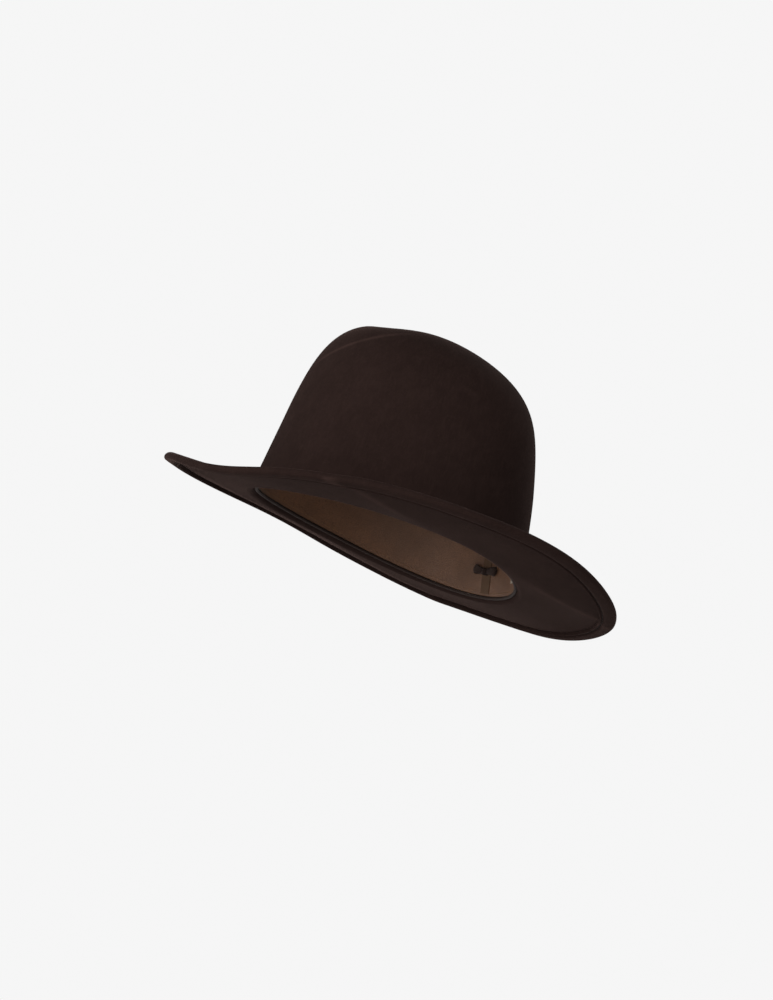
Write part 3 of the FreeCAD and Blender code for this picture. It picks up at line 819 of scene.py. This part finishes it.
@dataclass
class Sweatband:
    """The leather band against the head, its reed's tape, its thread, back seam, bow and blank tab."""
    columns: int = 384
    low: float = 2.4 * MM
    high: float = 37.0 * MM
    depth: float = 3.25 * MM
    leather: float = 0.85 * MM
    reed_height: float = 1.2 * MM
    reed_depth: float = 3.85 * MM
    reed_radius: float = 0.85 * MM
    cover: float = 0.35 * MM
    stitch_height: float = 5.0 * MM
    stitch_count: int = 190
    thread: float = 0.26 * MM
    tape_width: float = 10.0 * MM
    seam_margin: float = 1.5 * MM
    tab_width: float = 20.0 * MM
    tab_angle: float = math.radians(150.0)
    tab_low: float = 8.0 * MM
    tab_high: float = 20.0 * MM
    patch: float = 0.4 * MM
    bow_height: float = 20.0 * MM
    bow_length: float = 11.5 * MM
    bow_bulge: float = 3.2 * MM
    bow_width: float = 6.6 * MM
    hide: Leather = Leather("band_leather")
    tan_thread: Thread = Thread("tan_thread", (0.20, 0.115, 0.055))
    tape: Ribbed = Ribbed("reed_tape", (0.020, 0.0105, 0.0075), across=True)
    ribbon: Ribbed = Ribbed("bow_ribbon", (0.034, 0.020, 0.016))

    def inner(self, height: Array, turn: Array) -> Array:
        """Depth that the leather leans in by: more towards its free upper edge, in slow waves."""
        lean = smooth_step(height, 10.0 * MM, self.high)
        return lean * (0.35 * MM + ripple((0.16 * MM, 5 * turn + 0.6), (0.10 * MM, 11 * turn)))

    def band(self, turn: Array, height: Array, depth: Array) -> Array:
        """Points on the wall, leaning in as the leather does."""
        return FORM.wall(turn, height, depth + self.inner(height, turn))

    def strip(self, name: str, middle: float, width: float, low: float, high: float) -> bpy.types.Object:
        """A thin closed patch on the leather: a flat section carried over a few degrees, ends drawn shut."""
        near = self.depth + self.leather + 0.05 * MM
        section = slab(low, high, near, near + self.patch, 24)
        half = width / 2.0 / (0.95 * FORM.out_half_length)
        t = np.concatenate([[-1.0], np.linspace(-1.0, 1.0, 25), [1.0]])[:, None]
        centre = section.mean(axis=0)
        share = np.ones_like(t)
        share[[0, -1]] = 0.0
        a = centre[0] + (section[None, :, 0] - centre[0]) * share
        b = centre[1] + (section[None, :, 1] - centre[1]) * share
        return grid_object(name, settle(self.band(middle + half * t, a, b)), False, True)

    def bow(self) -> Array:
        """Both loops and the knot as one row of closed ribbon grids, shaped (3, columns, rows, 3).

        A loop's middle line is x = L sin(pi t), y = B/2 sin(2 pi t) cos-eased, pinched at the knot; the
        knot's is a flat ellipse round them. The ribbon's section is a thin rounded slab along Z.
        """
        t = np.linspace(0.0, 1.0, 49)
        middle = FORM.wall(np.array(math.pi), np.array(self.bow_height),
                           np.array(self.depth + self.leather + 2.0 * self.patch + self.bow_bulge / 2.0))
        grids = []
        for turn in (-1.0, 1.0, 0.0):
            if turn:
                x = turn * self.bow_length * np.sin(math.pi * t) ** 0.8
                y = 0.5 * self.bow_bulge * np.sin(FULL_TURN * t)
                width = self.bow_width * (0.45 + 0.55 * np.sin(math.pi * t) ** 0.9)
            else:
                x = 1.9 * MM * np.cos(FULL_TURN * t)
                y = 0.5 * (self.bow_bulge + 1.0 * MM) * np.sin(FULL_TURN * t)
                width = np.full_like(t, 4.4 * MM)
            line = np.stack([x, y], axis=-1)
            tangent = unit(np.gradient(line, axis=0))
            across = np.stack([-tangent[:, 1], tangent[:, 0]], axis=-1)
            section = np.concatenate([side((-0.5, -0.22 * MM), (0.5, -0.22 * MM), 9),
                                      side((0.5, 0.22 * MM), (-0.5, 0.22 * MM), 9)])
            tilt = 0.10 * turn * x[:, None]
            cup = 1.0 - 0.12 * (2.0 * section[None, :, 0]) ** 2
            px = middle[0] + line[:, None, 0] * cup + across[:, None, 0] * section[None, :, 1]
            py = middle[1] + line[:, None, 1] * cup + across[:, None, 1] * section[None, :, 1]
            pz = middle[2] + section[None, :, 0] * width[:, None] + tilt
            grids.append(vectors(px, py, pz))
        return np.stack(grids)

    def build(self) -> None:
        """Makes the band and everything sewn to it."""
        turn = angles(self.columns)
        section = slab(self.low, self.high, self.depth, self.depth + self.leather, 30)
        band = grid_object("sweatband_leather", settle(carried(section, self.band, turn)))
        dress(band, self.hide, "band_leather", "sweatband")
        middle = (self.reed_height, self.reed_depth)
        tape = np.concatenate([arc(middle, self.reed_radius + self.cover, 45.0, 315.0, 20),
                               arc(middle, self.reed_radius, 315.0, 45.0, 20)])
        cover = grid_object("reed_cover_tape", carried(tape, FORM.wall, turn))
        dress(cover, self.tape, "reed_tape", "reed_cover")
        thread = stitches("sweatband_stitches", self.stitch_count, 0.72, self.thread, FORM.wall,
                          self.stitch_height, self.depth + self.leather + 0.2 * self.thread, self.thread)
        dress(thread, self.tan_thread, "tan_thread", "sweatband_stitching")
        seam = self.strip("back_seam_ribbon", math.pi, self.tape_width, self.low + self.seam_margin,
                          self.high - self.seam_margin)
        dress(seam, Ribbed("seam_tape", (0.088, 0.050, 0.028), across=True), "seam_tape", "back_seam_tape")
        tab = self.strip("size_tab_blank", self.tab_angle, self.tab_width, self.low + self.tab_low,
                         self.low + self.tab_high)
        cloth = Ribbed("blank_tab", (0.42, 0.37, 0.30), rib=0.5 * MM, warp=0.4 * MM)
        dress(tab, cloth, "blank_tab", "size_tab")
        bow = grid_object("sweatband_bow_tied", self.bow(), False, True)
        dress(bow, self.ribbon, "bow_ribbon", "sweatband_bow")
        repaint("sweatband_reed", Plastic("reed_plastic", (0.78, 0.76, 0.70)))


# ---- lining ----------------------------------------------------------------------------------

@dataclass
class Lining:
    """The satin lining: a pleated side panel, an oval tip and the piping between them."""
    columns: int = 448
    thickness: float = 0.3 * MM
    depth: float = 2.75 * MM
    drop: float = 17.0 * MM
    low: float = 0.20
    seam: float = 0.86
    seam_gap: float = 0.009
    piping: float = 0.81 * MM
    pleats: int = 34
    pleat_depth: float = 1.5 * MM
    pucker: float = 0.5 * MM
    satin: Satin = Satin("lining_satin")
    cord: Ribbed = Ribbed("piping_cord", (0.060, 0.034, 0.022), rib=1.1 * MM, across=False)

    def form(self, turn: Array, rise: Array) -> Array:
        """The crown's shape with no dent, lower towards the top."""
        return FORM.crown(turn, rise, self.drop, False)

    def wall(self, turn: Array, rise: Array, depth: Array) -> Array:
        """Points at a rise and depth inside the lining's shape."""
        turn, rise, depth = np.broadcast_arrays(turn, rise, depth)
        step = 1e-3
        around = self.form(turn + step, rise) - self.form(turn - step, rise)
        outwards = self.form(turn, np.minimum(rise + step, 1.0)) - self.form(turn, rise - step)
        return self.form(turn, rise) - unit(np.cross(unit(around), unit(outwards))) * depth[..., None]

    def gathers(self, turn: Array, rise: Array) -> Array:
        """Depth of the pleats: folds that grow towards the tip's seam and shift as they fall."""
        grow = smooth_step(rise, 0.30, 0.80) * (1.0 - 0.55 * smooth_step(rise, 0.80, 0.86))
        phase = self.pleats * turn + 1.1 * np.sin(3 * turn) + 2.2 * (rise - 0.8) * np.sin(7 * turn + 0.5)
        fold = np.maximum(0.0, np.sin(phase)) ** 1.6 + 0.35 * np.maximum(0.0, np.sin(1.7 * phase + 0.9)) ** 2
        slack = ripple((0.35 * MM, 9 * turn + 14 * rise), (0.25 * MM, 17 * turn - 11 * rise))
        return self.pleat_depth * grow * fold + np.maximum(slack, 0.0) * smooth_step(rise, 0.28, 0.5)

    def side_panel(self) -> Array:
        """The side panel: outer face up, inner face down."""
        turn, top = angles(self.columns), self.seam - self.seam_gap
        section = np.concatenate([side((self.low, 0.0), (top, 0.0), 70),
                                  side((top, 1.0), (self.low, 1.0), 70)])
        rise, layer = section[None, :, 0], section[None, :, 1]
        return self.wall(turn, rise, self.depth + self.gathers(turn, rise) + layer * self.thickness)

    def tip_panel(self) -> Array:
        """The tip: from the middle out to the seam above, and back below, puckered near the seam."""
        turn = angles(self.columns)
        rises = FORM.crown_steps(self.seam + self.seam_gap, 1.0, 26)[:-1][None]
        fade = 1.0 - smooth_step(rises, 0.87, 0.93)
        pucker = self.pucker * np.maximum(0.0, np.sin(self.pleats * turn)) * fade
        poles = [np.broadcast_to(FORM.pole(self.depth + k * self.thickness, self.drop, False),
                                 (self.columns, 1, 3)) for k in (0, 1)]
        upper = self.wall(turn, rises[:, ::-1], self.depth + pucker[:, ::-1])
        lower = self.wall(turn, rises, self.depth + pucker + self.thickness)
        return np.concatenate([poles[0], upper, lower, poles[1]], axis=1)

    def build(self) -> None:
        """Makes the lining's three pieces."""
        side_piece = grid_object("lining_side_satin", settle(self.side_panel()))
        dress(side_piece, self.satin, "lining_satin", "lining_side")
        tip = grid_object("lining_tip_satin", settle(self.tip_panel()), True, False)
        dress(tip, Satin("tip_satin"), "tip_satin", "lining_tip")
        section = arc((0.0, self.depth + 0.5 * self.thickness), self.piping, 0.0, 360.0, 15)[:-1]
        rise = self.seam + section[None, :, 0] / FORM.height
        points = self.wall(angles(self.columns), rise, section[None, :, 1])
        dress(grid_object("lining_piping_cord", settle(points)), self.cord, "piping_cord", "lining_piping")


# ---- studio ----------------------------------------------------------------------------------

@dataclass
class Studio:
    """Pale floor, soft light and the camera, a little below the level of the brim."""
    yaw: float = math.radians(42.0)
    tilt: float = math.radians(21.87)
    roll: float = math.radians(5.65)
    distance: float = 2.9
    focal: float = 154.0
    shift: tuple[float, float] = (0.0, 0.0396)
    floor_level: float = -0.60
    background: float = 0.92
    ambient: float = 0.21

    def axes(self) -> Matrix:
        """Camera axes as rows: the hat seen from its left side, then rolled, tilted and turned."""
        left_side = Matrix(((0, 1, 0), (0, 0, 1), (1, 0, 0)))
        return (Matrix.Rotation(self.yaw, 3, "Y") @ Matrix.Rotation(-self.tilt, 3, "Z")
                @ Matrix.Rotation(self.roll, 3, "X") @ left_side)

    def camera(self) -> None:
        """Places the camera."""
        data = bpy.data.cameras.new("camera")
        data.lens = self.focal
        data.sensor_width = 36.0
        data.shift_x, data.shift_y = self.shift
        data.clip_end = 60.0
        camera = bpy.data.objects.new("camera", data)
        turn = self.axes().transposed()
        camera.matrix_world = Matrix.Translation(turn @ Vector((0.0, 0.0, self.distance))) @ turn.to_4x4()
        bpy.context.scene.collection.objects.link(camera)
        bpy.context.scene.camera = camera

    def lamp(self, name: str, place: tuple[float, float, float], size: float, power: float,
             colour: Colour = (1.0, 1.0, 1.0)) -> None:
        """An area light at a place in camera axes, aimed at the hat."""
        data = bpy.data.lights.new(name, "AREA")
        data.shape, data.size, data.energy, data.color = "DISK", size, power, colour
        light = bpy.data.objects.new(name, data)
        position = self.axes().transposed() @ Vector(place)
        aim = position.to_track_quat("Z", "Y").to_matrix().to_4x4()
        light.matrix_world = Matrix.Translation(position) @ aim
        bpy.context.scene.collection.objects.link(light)

    def floor(self) -> None:
        """A wide pale floor well below the hat."""
        corners = np.array([(-9, -9), (9, -9), (9, 9), (-9, 9)], dtype=float)
        points = np.column_stack([corners, np.full(4, self.floor_level)])
        floor = new_object("floor", points, np.array([[0, 1, 2, 3]]), corners[None])
        shader = Shader("studio_floor")
        shade = shader.noise(0.6, 2.0, 0.5)
        colour = shader.mix(shade, (0.90, 0.90, 0.90), (0.92, 0.92, 0.92))
        shader.set(Base_Color=colour, Roughness=shade * 0.1 + 0.85)
        floor.data.materials.append(shader.material)

    def world(self) -> None:
        """Pale surroundings, seen a little brighter than they shine on the hat."""
        world = bpy.data.worlds.new("studio")
        world.use_nodes = True
        nodes, links = world.node_tree.nodes, world.node_tree.links
        nodes["Background"].inputs["Color"].default_value = (self.ambient,) * 3 + (1.0,)
        seen = nodes.new("ShaderNodeBackground")
        seen.inputs["Color"].default_value = (self.background,) * 3 + (1.0,)
        choice, path = nodes.new("ShaderNodeMixShader"), nodes.new("ShaderNodeLightPath")
        links.new(path.outputs["Is Camera Ray"], choice.inputs[0])
        links.new(nodes["Background"].outputs[0], choice.inputs[1])
        links.new(seen.outputs[0], choice.inputs[2])
        links.new(choice.outputs[0], nodes["World Output"].inputs["Surface"])
        bpy.context.scene.world = world

    def build(self) -> None:
        """Sets the whole studio."""
        self.camera()
        self.floor()
        self.world()
        self.lamp("key", (-1.5, 0.9, 2.0), 1.2, 34.0)
        self.lamp("fill", (0.9, 0.55, 2.3), 1.0, 21.0)
        self.lamp("left_rim", (-1.9, 0.8, -0.6), 1.0, 22.0, (1.0, 0.93, 0.90))
        self.lamp("right_rim", (1.2, 1.2, -1.3), 0.9, 14.0, (1.0, 0.93, 0.90))
        bpy.context.scene.view_settings.view_transform = "Standard"


def main() -> None:
    """Builds the hat from the outside in, then the studio."""
    Body().build()
    Hem().build()
    repaint("brim_wire", Metal("wire_steel", (0.50, 0.50, 0.51)))
    repaint("wire_joiner", Metal("brass_sleeve", (0.68, 0.50, 0.24)))
    Sweatband().build()
    Lining().build()
    Studio().build()


if __name__ == "__main__":
    logging.basicConfig(level=logging.INFO, format="%(message)s")
    main()
